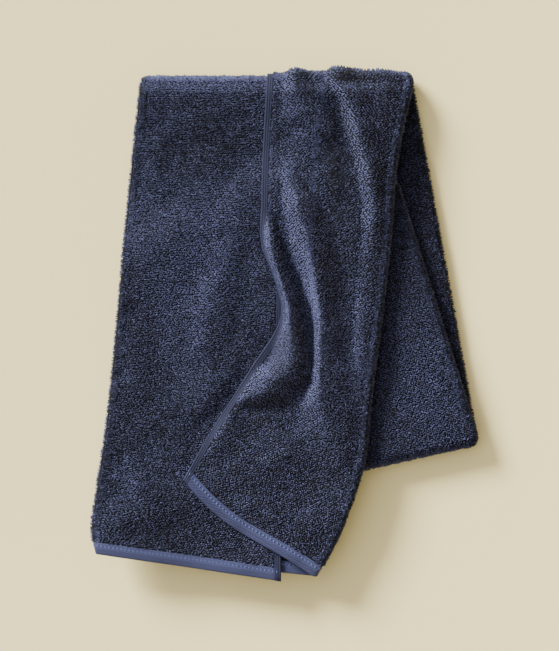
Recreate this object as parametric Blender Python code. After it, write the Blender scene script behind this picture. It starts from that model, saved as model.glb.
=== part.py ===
"""Bath towel of cotton terry, lying folded on a flat surface.

The cloth is folded in thirds along its length: an inner panel, then a loose outer flap, both lie on the
back panel. The strip this makes is folded twice across. Its front lies on top, turns over at the top
edge, runs down behind, turns again at the lower fold and comes up between the two.
Axes: X across the towel, Y from the hem of the front up to the top edge, Z up from the surface. The
origin is on the surface, under the middle of the towel's outline.
"""
import bpy
import numpy as np

# ---- driving dimensions, in metres ----
CLOTH = 0.003              # thickness of the terry
GAP = 0.001                # air between two layers
PITCH = CLOTH + GAP        # one layer to the next, middle to middle
CORE = PITCH / 2           # radius of the back panel's own turn at both cross folds
ROLL = CORE + 2 * PITCH + CLOTH / 2   # outer radius there, and so the height of the middle of the turn
TOP_EDGE = 0.608           # the line that the strip turns round at the top
SINK = 0.02                # width over which the inner panel comes down off the flap under the back
SINK_SHARE = 0.15          # and the share of the back's length that this takes at either end
STEP = 0.09                # length over which the front climbs onto the end of the strip
OVERHANG = 0.09            # length over which it comes down again past the lower fold
HEM_RISE = 0.015           # and how far over its height at the top edge it ends
CROWN = 0.0065             # how far the front rises just below the top edge
CROWN_LENGTH = 0.021       # and the length over which it does so
CROWN_LEAD = 0.006         # how much of that lies past the top edge, in the turn
SETTLED = 0.7              # share of that which it loses again before the step
SETTLE_LENGTH = 0.10       # and the length for it
END_DROP = 0.003           # how far the front comes down just before its end hem
END_DROP_ROWS = (0.045, 0.095)   # and where, up the front
BOW = 0.0135               # bulge of the flap's end hem
BOW_SKEW = 1.7             # 1 would put it in the middle, more is nearer the flap's corner
WAVE = 0.0006              # height of each of the front's two slow waves
WAVE_TURNS = ((60.0, 25.0), (-30.0, 40.0))   # their radians a metre, across and up
CORNERS = (0.008, 0.004)   # how far the left and right folds draw in where the strip turns
GATHER_END = 0.67          # share of the top fold over which the flap's ridges die out

# Outlines of the front. Columns: place up the front, place across it.
INNER_HEM = ((0.000, -0.005), (TOP_EDGE, -0.001))
LEFT_FOLD = ((0.034, -0.230), (0.055, -0.235), (0.109, -0.230), (0.176, -0.220),
             (0.295, -0.207), (0.445, -0.194), (TOP_EDGE, -0.177))
RIGHT_FOLD = ((0.006, 0.039), (0.057, 0.066), (0.090, 0.079), (0.139, 0.095), (0.227, 0.105),
              (0.343, 0.120), (0.427, 0.129), (0.506, 0.135), (TOP_EDGE, 0.156))
FLAP_HEM = ((0.124, -0.124), (0.185, -0.089), (0.256, -0.044), (0.327, -0.005), (0.374, -0.016),
            (0.406, -0.028), (0.463, -0.029), (TOP_EDGE, -0.023))

# Ridges of the flap and, below nought, its dips. Columns: place up the front, place across it, height, half
# width left and right, and the share of the height that stays to the right.
RIDGE_BY_FOLD = ((0.195, 0.094, 0.0000, 0.026, 0.022, 0.50), (0.220, 0.099, 0.0006, 0.025, 0.022, 0.50),
                 (0.241, 0.104, 0.0027, 0.024, 0.022, 0.50), (0.263, 0.107, 0.0061, 0.025, 0.022, 0.50),
                 (0.285, 0.108, 0.0084, 0.026, 0.023, 0.49), (0.307, 0.109, 0.0089, 0.029, 0.024, 0.49),
                 (0.351, 0.113, 0.0060, 0.030, 0.025, 0.48), (0.395, 0.117, 0.0059, 0.029, 0.026, 0.49),
                 (0.417, 0.118, 0.0109, 0.027, 0.028, 0.51), (0.439, 0.117, 0.0135, 0.026, 0.030, 0.55),
                 (0.461, 0.115, 0.0125, 0.023, 0.031, 0.58), (0.483, 0.108, 0.0112, 0.019, 0.030, 0.60),
                 (0.505, 0.101, 0.0118, 0.014, 0.027, 0.58), (0.527, 0.094, 0.0133, 0.013, 0.023, 0.51),
                 (0.549, 0.089, 0.0129, 0.015, 0.025, 0.38), (0.571, 0.083, 0.0124, 0.015, 0.029, 0.30),
                 (0.593, 0.074, 0.0095, 0.013, 0.029, 0.35), (0.612, 0.062, 0.0065, 0.016, 0.028, 0.35))
MIDDLE_RIDGE = ((0.171, 0.063, 0.0000, 0.036, 0.034, 0.0), (0.198, 0.054, 0.0053, 0.036, 0.038, 0.17),
                (0.220, 0.044, 0.0090, 0.025, 0.040, 0.29), (0.241, 0.043, 0.0089, 0.014, 0.040, 0.28),
                (0.263, 0.043, 0.0097, 0.010, 0.040, 0.21), (0.285, 0.043, 0.0111, 0.010, 0.040, 0.17),
                (0.307, 0.044, 0.0129, 0.010, 0.038, 0.22), (0.329, 0.043, 0.0135, 0.012, 0.038, 0.16),
                (0.351, 0.040, 0.0135, 0.017, 0.036, 0.09), (0.373, 0.037, 0.0135, 0.021, 0.037, 0.0),
                (0.395, 0.033, 0.0135, 0.025, 0.036, 0.0), (0.417, 0.028, 0.0135, 0.027, 0.036, 0.0),
                (0.439, 0.024, 0.0135, 0.026, 0.033, 0.0), (0.461, 0.016, 0.0124, 0.020, 0.027, 0.03),
                (0.483, 0.009, 0.0055, 0.014, 0.022, 0.16), (0.505, 0.010, 0.0021, 0.020, 0.024, 0.47),
                (0.527, 0.031, 0.0017, 0.034, 0.032, 0.60), (0.549, 0.040, 0.0061, 0.036, 0.036, 0.47),
                (0.571, 0.027, 0.0060, 0.032, 0.036, 0.30), (0.593, 0.016, 0.0055, 0.024, 0.028, 0.30),
                (0.612, 0.012, 0.0075, 0.015, 0.020, 0.30))
RIDGE_BY_HEM = ((0.212, -0.042, 0.0000, 0.032, 0.040, 0.0), (0.224, -0.029, 0.0087, 0.036, 0.040, 0.0),
                (0.241, -0.013, 0.0129, 0.036, 0.037, 0.0), (0.263, 0.008, 0.0135, 0.036, 0.033, 0.0),
                (0.285, 0.011, 0.0135, 0.028, 0.031, 0.0), (0.307, 0.008, 0.0129, 0.023, 0.030, 0.0),
                (0.329, 0.001, 0.0129, 0.021, 0.031, 0.0), (0.351, -0.006, 0.0135, 0.020, 0.031, 0.0),
                (0.373, -0.012, 0.0135, 0.021, 0.029, 0.0), (0.395, -0.015, 0.0135, 0.021, 0.024, 0.0),
                (0.417, -0.017, 0.0110, 0.021, 0.015, 0.0), (0.446, -0.023, 0.0000, 0.018, 0.010, 0.0))
DIP_BY_FOLD = ((0.446, 0.085, 0.0000, 0.025, 0.022, 0.0), (0.473, 0.083, -0.0011, 0.023, 0.024, 0.0),
               (0.498, 0.080, -0.0015, 0.021, 0.024, 0.0), (0.527, 0.076, -0.0015, 0.017, 0.023, 0.0),
               (0.556, 0.069, -0.0038, 0.015, 0.022, 0.0), (0.578, 0.061, -0.0039, 0.017, 0.020, 0.0),
               (0.593, 0.055, 0.0000, 0.020, 0.019, 0.0))
RIDGES = (RIDGE_BY_FOLD, MIDDLE_RIDGE, RIDGE_BY_HEM, DIP_BY_FOLD)
TOP_FADE = 0.06            # share of the front, from the top edge, over which the panel's swells grow
FOLD_FADE = 0.2            # share of the panel over which they die away at the left fold
FLAP_MARGIN = 0.030        # width over which the panel's swells die away beside the flap
HEM_DIP = 0.012            # width over which a ridge dies away at the flap's side hem
FOLD_DIP = 0.028           # width over which it comes down towards the right fold
FOLD_SHARE = 0.2           # and the share of it that reaches the fold

# The two rows that bound the folded-away length. Columns: left fold x, y, right fold x, y.
LOWER_ROW = (-0.085, 0.107, 0.2345, 0.177)
END_ROW = (-0.176, 0.387, 0.133, 0.499)

# Soft swells and, below nought, dents of the panel, of the whole front and of the flap. Columns: middle
# across, middle up, half length, half width, turn of its length from level in degrees, height.
PANEL_SWELLS = ((-0.081, 0.348, 0.120, 0.035, 77.0, 0.0040), (-0.147, 0.222, 0.084, 0.050, 70.0, -0.0008),
                (-0.173, 0.113, 0.029, 0.060, 38.0, 0.0040), (-0.209, 0.081, 0.073, 0.029, 2.0, 0.0026),
                (-0.193, 0.278, 0.067, 0.043, 78.0, 0.0030), (-0.096, 0.226, 0.099, 0.049, 36.0, 0.0040),
                (-0.105, 0.493, 0.063, 0.048, 51.0, 0.0040), (-0.172, 0.504, 0.092, 0.060, 10.0, 0.0040))
CORNER_LIFT = ((-0.225, 0.020, 0.150, 0.100, 0.0, 0.009),)
FLAP_SWELLS = ((0.063, 0.167, 0.068, 0.050, -7.0, 0.0055), (-0.005, 0.149, 0.048, 0.050, 67.0, 0.0038),
               (-0.086, 0.198, 0.070, 0.043, 80.0, 0.0055), (0.024, 0.061, 0.029, 0.037, -11.0, 0.0011),
               (-0.035, 0.090, 0.110, 0.022, -36.0, 0.0030))

# Cells along each stretch of the cloth, in order.
CELLS_ACROSS = (5, 5, 7, 6, 22)      # inner panel, left fold, back panel, right fold, flap
CELLS_ALONG = (22, 7, 9, 6, 6)       # front, top fold, back, lower fold, end


def ease(x):
    """Rise from 0 to 1 as x does, level at both ends."""
    x = np.clip(x, 0.0, 1.0)
    return x * x * (3.0 - 2.0 * x)


def through(rows, place):
    """Smooth curve through a table's rows: cubics that share the slope at each row."""
    table = np.array(rows)
    at, value = table[:, 0], table[:, 1:]
    slope = np.gradient(value, at, axis=0)
    row = np.clip(np.searchsorted(at, place, side="right") - 1, 0, len(at) - 2)
    step = (at[row + 1] - at[row])[..., None]
    t = np.clip((place - at[row])[..., None] / step, 0.0, 1.0)
    near = (1 + 2 * t) * (1 - t) ** 2 * value[row] + t * (1 - t) ** 2 * step * slope[row]
    far = t * t * (3 - 2 * t) * value[row + 1] - t * t * (1 - t) * step * slope[row + 1]
    return near + far


def ridge(rows, x, y):
    """Height at x, y of a ridge whose crest, height and half widths follow a table up the front.

    It rises from nothing at the left, and falls to the right to the share that stays.
    """
    crest, height, half_left, half_right, rest = np.moveaxis(through(rows, y), -1, 0)
    small = 0.001
    lean = (through(rows, y + small)[..., 0] - through(rows, y - small)[..., 0]) / (2 * small)
    off = (x - crest) / np.sqrt(1.0 + lean * lean)
    fall = ease(off / half_right)
    return height * np.where(off < 0.0, ease(1.0 + off / half_left), 1.0 - (1.0 - rest) * fall)


def swells(rows, x, y):
    """Sum of long soft mounds, each falling from its middle to nothing at its half length and width."""
    total = np.zeros_like(x)
    for middle_x, middle_y, half_length, half_width, turn, height in rows:
        cos, sin = np.cos(np.radians(turn)), np.sin(np.radians(turn))
        lengthwise = ((x - middle_x) * cos + (y - middle_y) * sin) / half_length
        widthwise = ((y - middle_y) * cos - (x - middle_x) * sin) / half_width
        total = total + height * ease(1.0 - np.hypot(lengthwise, widthwise))
    return total


def across_line(row, x, y):
    """Distance of x, y past the line through a row's two ends, towards the top edge."""
    left, right = np.array(row[:2]), np.array(row[2:])
    unit = (right - left) / np.linalg.norm(right - left)
    return (y - left[1]) * unit[0] - (x - left[0]) * unit[1]


def on_end(x, y):
    """Share of the height of the strip's end that the front has at that place."""
    return 1.0 - ease(across_line(END_ROW, x, y) / STEP)


def crown_height(y):
    """Rise of the cloth just below the top edge, most of which it loses again further down."""
    run = TOP_EDGE + CROWN_LEAD - y
    return CROWN * ease(run / CROWN_LENGTH) * (1.0 - SETTLED * ease((run - CROWN_LENGTH) / SETTLE_LENGTH))


def front_height(x, y):
    """How far the front lies above its height at the top edge, apart from the crown.

    It steps up onto the end of the strip. Past the lower fold and the folded-away left side it comes
    down a little, and once more before its hem, where its left corner lifts.
    """
    below = -across_line(LOWER_ROW, x, y) - ROLL
    beside = across_line(LOWER_ROW[:2] + END_ROW[:2], x, y)
    past = np.hypot(np.maximum(below, 0.0), np.maximum(beside, 0.0))
    hang = ease((past - 2 * PITCH) / OVERHANG)
    uneven = sum(WAVE * (1.0 + np.sin(turn_x * x + turn_y * y)) for turn_x, turn_y in WAVE_TURNS)
    settled = on_end(x, y) * 3 * PITCH * (1.0 - hang) + HEM_RISE * hang
    low, high = END_DROP_ROWS
    drop = END_DROP * (1.0 - ease((y - low) / (high - low)))
    return settled + uneven * ease((TOP_EDGE - y) / STEP) - drop + swells(CORNER_LIFT, x, y)


def flap_ridges(x, y):
    """Height of all the flap's ridges and dips together."""
    return sum(ridge(rows, x, y) for rows in RIDGES)


def edge_places(along):
    """Plan places of the strip's four edges: inner hem, left fold, right fold and the flap's hem.

    Up the front they follow their tables. Past the top edge the two folds run straight from row to
    row, and each hem keeps its distance from its fold.
    """
    up = np.clip(along, 0.0, 1.0)
    front = []
    for rows in (INNER_HEM, LEFT_FOLD, RIGHT_FOLD, FLAP_HEM):
        y = rows[0][0] + (TOP_EDGE - rows[0][0]) * up
        front.append(np.stack([through(rows, y)[..., 0], y], axis=-1))
    to_lower = np.clip(along - 2.0, 0.0, 1.0)[..., None]
    to_end = np.clip(along - 4.0, 0.0, 1.0)[..., None]
    lower, end = np.array(LOWER_ROW), np.array(END_ROW)
    top = np.array([LEFT_FOLD[-1][1], TOP_EDGE, RIGHT_FOLD[-1][1], TOP_EDGE])
    row = top + (lower - top) * to_lower + (end - lower) * to_end
    left, right = row[..., :2], row[..., 2:]
    unit = (right - left) / np.linalg.norm(right - left, axis=-1, keepdims=True)
    inner = left + unit * (INNER_HEM[-1][1] - LEFT_FOLD[-1][1])
    flap = right - unit * (RIGHT_FOLD[-1][1] - FLAP_HEM[-1][1])
    on_front = (along < 1.0)[..., None]
    away = (inner, left, right, flap)
    return [np.where(on_front, here, there) for here, there in zip(front, away)]


def towel(across, along):
    """Middle of the cloth, as points in space.

    across runs 0 to 5 over inner panel, left fold, back panel, right fold and flap. along runs 0 to 5
    over front, top fold, back, lower fold and end. A point has a plan place on its row and a depth, its
    distance outside the back panel. The cross folds turn both together about one level line.
    """
    inner, left, right, flap = edge_places(along)
    unit = right - left
    row_length = np.linalg.norm(unit, axis=-1)
    unit = unit / row_length[..., None]
    outward = np.stack([-unit[..., 1], unit[..., 0]], axis=-1)
    turn = np.pi * (np.clip(along - 1.0, 0.0, 1.0) + np.clip(along - 3.0, 0.0, 1.0))
    part = [np.clip(across - start, 0.0, 1.0) for start in range(5)]

    # under the back the inner panel comes down to the surface wherever the flap isn't below it
    panel = np.linalg.norm(inner - left, axis=-1)
    clear = row_length - np.linalg.norm(flap - right, axis=-1) - (1.0 - part[0]) * panel - PITCH
    in_back = ease((along - 2.0) / SINK_SHARE) * ease((3.0 - along) / SINK_SHARE)
    inner_depth = PITCH * (1.0 + ease(clear / SINK) * in_back)

    left_radius = inner_depth / 2
    left_middle = left + unit * (left_radius + CLOTH / 2)[..., None]
    right_middle = right - unit * (PITCH + CLOTH / 2)
    left_angle, right_angle = np.pi * part[1], np.pi * part[3]

    flap_run = flap - right_middle
    flap_width = np.linalg.norm(flap_run, axis=-1)
    bow = BOW * np.sin(np.pi * part[4] ** BOW_SKEW) * ease(1.0 - 2.0 * along)
    on_flap = right_middle + flap_run * part[4][..., None] - bow[..., None] * np.array([0.0, 1.0])
    free = FOLD_SHARE + (1.0 - FOLD_SHARE) * ease(part[4] * flap_width / FOLD_DIP)
    free = free * ease((1.0 - part[4]) * flap_width / HEM_DIP)
    free = free * ease((1.0 - turn / np.pi) / GATHER_END)
    on_panel = inner + (left_middle - inner) * part[0][..., None]
    panel_x, panel_y, flap_x, flap_y = on_panel[..., 0], on_panel[..., 1], on_flap[..., 0], on_flap[..., 1]
    ridges = (flap_ridges(flap_x, flap_y) + swells(FLAP_SWELLS, flap_x, flap_y)) * free
    on_top = (along < 1.0) * ease((1.0 - along) / TOP_FADE)
    beside_flap = ease((through(FLAP_HEM, panel_y)[..., 0] - panel_x) / FLAP_MARGIN)
    panel_rise = swells(PANEL_SWELLS, panel_x, panel_y) * on_top * beside_flap
    panel_rise = panel_rise * ease((1.0 - part[0]) / FOLD_FADE)

    plans = [on_panel,
             left_middle - unit * (left_radius * np.sin(left_angle))[..., None],
             left_middle + (right_middle - left_middle) * part[2][..., None],
             right_middle + unit * (PITCH * np.sin(right_angle))[..., None],
             on_flap]
    depths = [inner_depth + panel_rise,
              left_radius * (1.0 + np.cos(left_angle)),
              np.zeros_like(inner_depth),
              PITCH * (1.0 - np.cos(right_angle)) + ridges * ease(part[3]),
              2.0 * PITCH + ridges]
    stretch = np.clip(np.floor(across), 0, 4)
    plan = sum(np.where((stretch == n)[..., None], plans[n], 0.0) for n in range(5))
    depth = sum(np.where(stretch == n, depths[n], 0.0) for n in range(5))

    radius = CORE + depth
    row_share = ((plan - left) * unit).sum(axis=-1) / row_length
    draw_in = CORNERS[0] * (1.0 - row_share) ** 3 - CORNERS[1] * row_share ** 3
    draw_in = draw_in * np.abs(np.sin(turn)) * np.minimum(radius / (CORE + 2 * PITCH), 1.0)
    place = plan + outward * (radius * np.sin(turn))[..., None] + unit * draw_in[..., None]
    height = ROLL + radius * np.cos(turn)
    on_front = front_height(plan[..., 0], plan[..., 1])
    crown = crown_height(place[..., 1]) * (1.0 - on_end(place[..., 0], place[..., 1]))
    height = height + np.where(along < 1.0, on_front, 0.0)
    height = height + np.where(along < 1.5, crown * np.maximum(np.cos(turn), 0.0), 0.0)
    return np.concatenate([place, height[..., None]], axis=-1)


def face_directions(across, along):
    """Unit normal of the cloth, from the difference between points close by on either side."""
    small = 0.001
    sides = []
    for step_across, step_along in ((small, 0.0), (0.0, small)):
        ahead = towel(np.clip(across + step_across, 0, 5), np.clip(along + step_along, 0, 5))
        behind = towel(np.clip(across - step_across, 0, 5), np.clip(along - step_along, 0, 5))
        sides.append(ahead - behind)
    normal = np.cross(sides[0], sides[1])
    return normal / np.linalg.norm(normal, axis=-1, keepdims=True)


def stations(cells):
    """Values from 0 to the number of stretches, with the given cells in each stretch."""
    runs = [start + np.arange(count) / count for start, count in enumerate(cells)]
    return np.append(np.concatenate(runs), len(cells))


def closed_shell(middle, normal, thickness):
    """Vertices and triangles of a sheet of the given thickness round a grid of middle points."""
    rows, columns = middle.shape[:2]
    vertices = np.concatenate([(middle + normal * thickness / 2).reshape(-1, 3),
                               (middle - normal * thickness / 2).reshape(-1, 3)])
    index = np.arange(rows * columns).reshape(rows, columns)
    near, right, far, left = index[:-1, :-1], index[1:, :-1], index[1:, 1:], index[:-1, 1:]
    quads = [np.stack([near, right, far, left], axis=-1).reshape(-1, 4)]
    quads.append(quads[0][:, ::-1] + rows * columns)
    loop = np.concatenate([index[:-1, 0], index[-1, :-1], index[:0:-1, -1], index[0, :0:-1]])
    after = np.roll(loop, -1)
    quads.append(np.stack([after, loop, loop + rows * columns, after + rows * columns], axis=-1))
    return vertices, np.concatenate(quads)


def terry_material():
    """Navy cotton terry: dark, matt and slightly soft at grazing angles."""
    material = bpy.data.materials.new("navy_cotton_terry")
    material.use_nodes = True
    shader = material.node_tree.nodes["Principled BSDF"]
    shader.inputs["Base Color"].default_value = (0.032, 0.037, 0.062, 1.0)
    shader.inputs["Roughness"].default_value = 0.95
    shader.inputs["Metallic"].default_value = 0.0
    return material


for old in list(bpy.data.objects):
    bpy.data.objects.remove(old, do_unlink=True)

across, along = np.meshgrid(stations(CELLS_ACROSS), stations(CELLS_ALONG), indexing="ij")
vertices, quads = closed_shell(towel(across, along), face_directions(across, along), CLOTH)
vertices[:, :2] -= (vertices[:, :2].min(axis=0) + vertices[:, :2].max(axis=0)) / 2
mesh = bpy.data.meshes.new("towel")
mesh.from_pydata(vertices.tolist(), [], quads.tolist())
mesh.materials.append(terry_material())
mesh.shade_smooth()
cloth = bpy.data.objects.new("towel", mesh)
bpy.context.scene.collection.objects.link(cloth)
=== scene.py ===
"""Navy bath towel of cotton terry, folded in thirds and then twice across, lying on a pale floor.

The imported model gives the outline, the folds and their order. Here the same cloth gets its pile of
loops, its woven hems and stitching, the small swells of a folded towel, and the light.
"""
import bpy
import numpy as np
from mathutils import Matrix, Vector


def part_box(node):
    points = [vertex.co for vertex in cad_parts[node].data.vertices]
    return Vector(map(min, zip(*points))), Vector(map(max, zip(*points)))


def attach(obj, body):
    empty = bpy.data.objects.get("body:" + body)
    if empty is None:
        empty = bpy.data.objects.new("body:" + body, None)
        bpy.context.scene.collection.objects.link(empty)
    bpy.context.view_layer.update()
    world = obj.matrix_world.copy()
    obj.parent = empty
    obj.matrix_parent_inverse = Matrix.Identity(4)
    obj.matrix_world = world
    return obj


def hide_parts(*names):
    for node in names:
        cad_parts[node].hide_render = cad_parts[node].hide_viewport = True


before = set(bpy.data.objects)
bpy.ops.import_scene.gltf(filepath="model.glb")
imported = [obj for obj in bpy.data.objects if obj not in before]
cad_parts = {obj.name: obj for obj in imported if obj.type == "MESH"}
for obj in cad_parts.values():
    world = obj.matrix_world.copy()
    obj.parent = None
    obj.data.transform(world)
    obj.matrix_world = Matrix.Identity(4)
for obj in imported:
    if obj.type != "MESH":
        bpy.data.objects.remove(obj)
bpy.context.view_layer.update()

# ---- camera ----
# Straight above the towel, with the top edge of the towel up in the picture. It is far away for its
# lens, so the raised folds hardly shift against the floor.
CAMERA_PLACE = (-0.0064, -0.0027, 3.02)
MIDDLE_HEIGHT = 0.02                 # height at which the picture's scale holds
PICTURE_HEIGHT = 0.794               # of the floor that it shows, in metres


def add_object(name, data):
    """New object of the scene."""
    thing = bpy.data.objects.new(name, data)
    bpy.context.scene.collection.objects.link(thing)
    return thing


camera_data = bpy.data.cameras.new("camera")
camera_data.lens = camera_data.sensor_width * (CAMERA_PLACE[2] - MIDDLE_HEIGHT) / PICTURE_HEIGHT
camera = add_object("camera", camera_data)
camera.location = CAMERA_PLACE
bpy.context.scene.camera = camera

# ---- folded cloth ----
# One length of cotton terry, 70 by 140 cm, folded in thirds along its length and then twice across. It
# is woven with a ground that the loops stand on. What shows between the loops is that dark ground.
GROUND = 0.0018            # thickness of the woven ground
PITCH = 0.004              # one layer to the next, middle to middle
CORE = PITCH / 2           # radius of the back panel's own turn at both cross folds
TERRY = 0.003              # thickness of the terry with its pile
ROLL = CORE + 2 * PITCH + TERRY / 2   # height of the middle of the turns
TOP_EDGE = 0.608           # the line that the strip turns round at the top
SINK = 0.02                # width over which the inner panel comes down off the flap under the back
SINK_SHARE = 0.15          # and the share of the back's length that this takes at either end
STEP = 0.09                # length over which the front climbs onto the end of the strip
OVERHANG = 0.09            # length over which it comes down again past the lower fold
HEM_RISE = 0.015           # and how far over its height at the top edge it ends
CROWN = 0.0065             # how far the front rises just below the top edge
CROWN_LENGTH = 0.021       # and the length over which it does so
CROWN_LEAD = 0.006         # how much of that lies past the top edge, in the turn
SETTLED = 0.7              # share of that which it loses again before the step
SETTLE_LENGTH = 0.10       # and the length for it
END_DROP = 0.003           # how far the front comes down just before its end hem
END_DROP_ROWS = (0.045, 0.095)   # and where, up the front
BOW = 0.0135               # bulge of the flap's end hem
BOW_SKEW = 1.7             # 1 would put it in the middle, more is nearer the flap's corner
WAVE = 0.0006              # height of each of the front's two slow waves
WAVE_TURNS = ((60.0, 25.0), (-30.0, 40.0))   # their radians a metre, across and up
CORNERS = (0.008, 0.004)   # how far the left and right folds draw in where the strip turns
GATHER_END = 0.67          # share of the top fold over which the flap's ridges die out

# Outlines of the front. Columns: place up the front, place across it.
INNER_HEM = ((0.000, -0.005), (TOP_EDGE, -0.001))
LEFT_FOLD = ((0.034, -0.230), (0.055, -0.235), (0.109, -0.230), (0.176, -0.220),
             (0.295, -0.207), (0.445, -0.194), (TOP_EDGE, -0.177))
RIGHT_FOLD = ((0.006, 0.039), (0.057, 0.066), (0.090, 0.079), (0.139, 0.095), (0.227, 0.105),
              (0.343, 0.120), (0.427, 0.129), (0.506, 0.135), (TOP_EDGE, 0.156))
FLAP_HEM = ((0.124, -0.124), (0.185, -0.089), (0.256, -0.044), (0.327, -0.005), (0.374, -0.016),
            (0.406, -0.028), (0.463, -0.029), (TOP_EDGE, -0.023))

# Ridges of the flap and, below nought, its dips. Columns: place up the front, place across it, height,
# half width left and right, and the share of the height that stays to the right.
RIDGE_BY_FOLD = ((0.195, 0.094, 0.0000, 0.026, 0.022, 0.50), (0.220, 0.099, 0.0006, 0.025, 0.022, 0.50),
                 (0.241, 0.104, 0.0027, 0.024, 0.022, 0.50), (0.263, 0.107, 0.0061, 0.025, 0.022, 0.50),
                 (0.285, 0.108, 0.0084, 0.026, 0.023, 0.49), (0.307, 0.109, 0.0089, 0.029, 0.024, 0.49),
                 (0.351, 0.113, 0.0060, 0.030, 0.025, 0.48), (0.395, 0.117, 0.0059, 0.029, 0.026, 0.49),
                 (0.417, 0.118, 0.0109, 0.027, 0.028, 0.51), (0.439, 0.117, 0.0135, 0.026, 0.030, 0.55),
                 (0.461, 0.115, 0.0125, 0.023, 0.031, 0.58), (0.483, 0.108, 0.0112, 0.019, 0.030, 0.60),
                 (0.505, 0.101, 0.0118, 0.014, 0.027, 0.58), (0.527, 0.094, 0.0133, 0.013, 0.023, 0.51),
                 (0.549, 0.089, 0.0129, 0.015, 0.025, 0.38), (0.571, 0.083, 0.0124, 0.015, 0.029, 0.30),
                 (0.593, 0.074, 0.0095, 0.013, 0.029, 0.35), (0.612, 0.062, 0.0065, 0.016, 0.028, 0.35))
MIDDLE_RIDGE = ((0.171, 0.063, 0.0000, 0.036, 0.034, 0.0), (0.198, 0.054, 0.0053, 0.036, 0.038, 0.17),
                (0.220, 0.044, 0.0090, 0.025, 0.040, 0.29), (0.241, 0.043, 0.0089, 0.014, 0.040, 0.28),
                (0.263, 0.043, 0.0097, 0.010, 0.040, 0.21), (0.285, 0.043, 0.0111, 0.010, 0.040, 0.17),
                (0.307, 0.044, 0.0129, 0.010, 0.038, 0.22), (0.329, 0.043, 0.0135, 0.012, 0.038, 0.16),
                (0.351, 0.040, 0.0135, 0.017, 0.036, 0.09), (0.373, 0.037, 0.0135, 0.021, 0.037, 0.0),
                (0.395, 0.033, 0.0135, 0.025, 0.036, 0.0), (0.417, 0.028, 0.0135, 0.027, 0.036, 0.0),
                (0.439, 0.024, 0.0135, 0.026, 0.033, 0.0), (0.461, 0.016, 0.0124, 0.020, 0.027, 0.03),
                (0.483, 0.009, 0.0055, 0.014, 0.022, 0.16), (0.505, 0.010, 0.0021, 0.020, 0.024, 0.47),
                (0.527, 0.031, 0.0017, 0.034, 0.032, 0.60), (0.549, 0.040, 0.0061, 0.036, 0.036, 0.47),
                (0.571, 0.027, 0.0060, 0.032, 0.036, 0.30), (0.593, 0.016, 0.0055, 0.024, 0.028, 0.30),
                (0.612, 0.012, 0.0075, 0.015, 0.020, 0.30))
RIDGE_BY_HEM = ((0.212, -0.042, 0.0000, 0.032, 0.040, 0.0), (0.224, -0.029, 0.0087, 0.036, 0.040, 0.0),
                (0.241, -0.013, 0.0129, 0.036, 0.037, 0.0), (0.263, 0.008, 0.0135, 0.036, 0.033, 0.0),
                (0.285, 0.011, 0.0135, 0.028, 0.031, 0.0), (0.307, 0.008, 0.0129, 0.023, 0.030, 0.0),
                (0.329, 0.001, 0.0129, 0.021, 0.031, 0.0), (0.351, -0.006, 0.0135, 0.020, 0.031, 0.0),
                (0.373, -0.012, 0.0135, 0.021, 0.029, 0.0), (0.395, -0.015, 0.0135, 0.021, 0.024, 0.0),
                (0.417, -0.017, 0.0110, 0.021, 0.015, 0.0), (0.446, -0.023, 0.0000, 0.018, 0.010, 0.0))
DIP_BY_FOLD = ((0.446, 0.085, 0.0000, 0.025, 0.022, 0.0), (0.473, 0.083, -0.0011, 0.023, 0.024, 0.0),
               (0.498, 0.080, -0.0015, 0.021, 0.024, 0.0), (0.527, 0.076, -0.0015, 0.017, 0.023, 0.0),
               (0.556, 0.069, -0.0038, 0.015, 0.022, 0.0), (0.578, 0.061, -0.0039, 0.017, 0.020, 0.0),
               (0.593, 0.055, 0.0000, 0.020, 0.019, 0.0))
RIDGES = (RIDGE_BY_FOLD, MIDDLE_RIDGE, RIDGE_BY_HEM, DIP_BY_FOLD)
TOP_FADE = 0.06            # share of the front, from the top edge, over which the panel's swells grow
FOLD_FADE = 0.2            # share of the panel over which they die away at the left fold
FLAP_MARGIN = 0.030        # width over which the panel's swells die away beside the flap
HEM_DIP = 0.012            # width over which a ridge dies away at the flap's side hem
FOLD_DIP = 0.028           # width over which it comes down towards the right fold
FOLD_SHARE = 0.2           # and the share of it that reaches the fold

# The two rows that bound the folded-away length. Columns: left fold x, y, right fold x, y.
LOWER_ROW = (-0.085, 0.107, 0.2345, 0.177)
END_ROW = (-0.176, 0.387, 0.133, 0.499)

# Soft swells and, below nought, dents of the panel, of the whole front and of the flap. Columns: middle
# across, middle up, half length, half width, turn of its length from level in degrees, height.
PANEL_SWELLS = ((-0.081, 0.348, 0.120, 0.035, 77.0, 0.0040), (-0.147, 0.222, 0.084, 0.050, 70.0, -0.0008),
                (-0.173, 0.113, 0.029, 0.060, 38.0, 0.0040), (-0.209, 0.081, 0.073, 0.029, 2.0, 0.0026),
                (-0.193, 0.278, 0.067, 0.043, 78.0, 0.0030), (-0.096, 0.226, 0.099, 0.049, 36.0, 0.0040),
                (-0.105, 0.493, 0.063, 0.048, 51.0, 0.0040), (-0.172, 0.504, 0.092, 0.060, 10.0, 0.0040))
CORNER_LIFT = ((-0.225, 0.020, 0.150, 0.100, 0.0, 0.009),)
FLAP_SWELLS = ((0.063, 0.167, 0.068, 0.050, -7.0, 0.0055), (-0.005, 0.149, 0.048, 0.050, 67.0, 0.0038),
               (-0.086, 0.198, 0.070, 0.043, 80.0, 0.0055), (0.024, 0.061, 0.029, 0.037, -11.0, 0.0011),
               (-0.035, 0.090, 0.110, 0.022, -36.0, 0.0030))
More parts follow.
